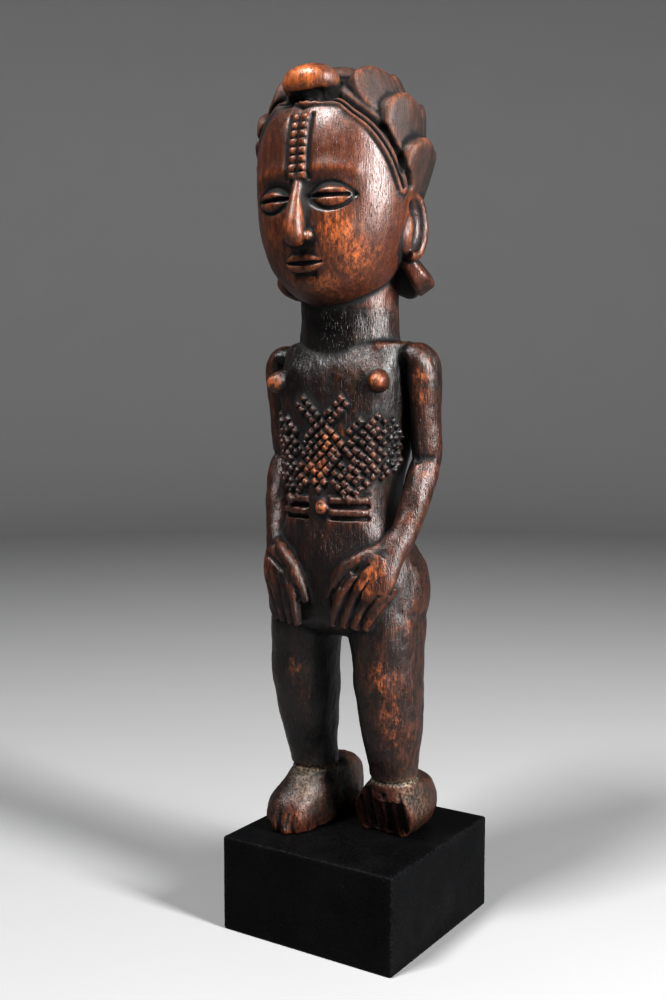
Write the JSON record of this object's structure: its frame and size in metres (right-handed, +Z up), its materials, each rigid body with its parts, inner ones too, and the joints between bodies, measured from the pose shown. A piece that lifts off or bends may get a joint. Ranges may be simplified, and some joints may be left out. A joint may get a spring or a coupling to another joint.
{
  "type": "carved wooden divination figure",
  "caption": "Standing carved hardwood female figure with a stepped coiffure, hands on the lower belly, on a small square black block.",
  "frame": {"origin": "centre of the block's underside", "axes": "+Z up, the figure faces -Y, +X is the figure's left side"},
  "size_m": [0.078, 0.0865, 0.3348],
  "materials": {
    "figure_wood": "dark red-brown hardwood, black patina in the hollows, worn and oiled on the highs",
    "base_paint": "satin black paint on a wooden block"
  },
  "bodies": {
    "root": {"figure": "figure_wood", "base": "base_paint"}
  },
  "joints": []
}
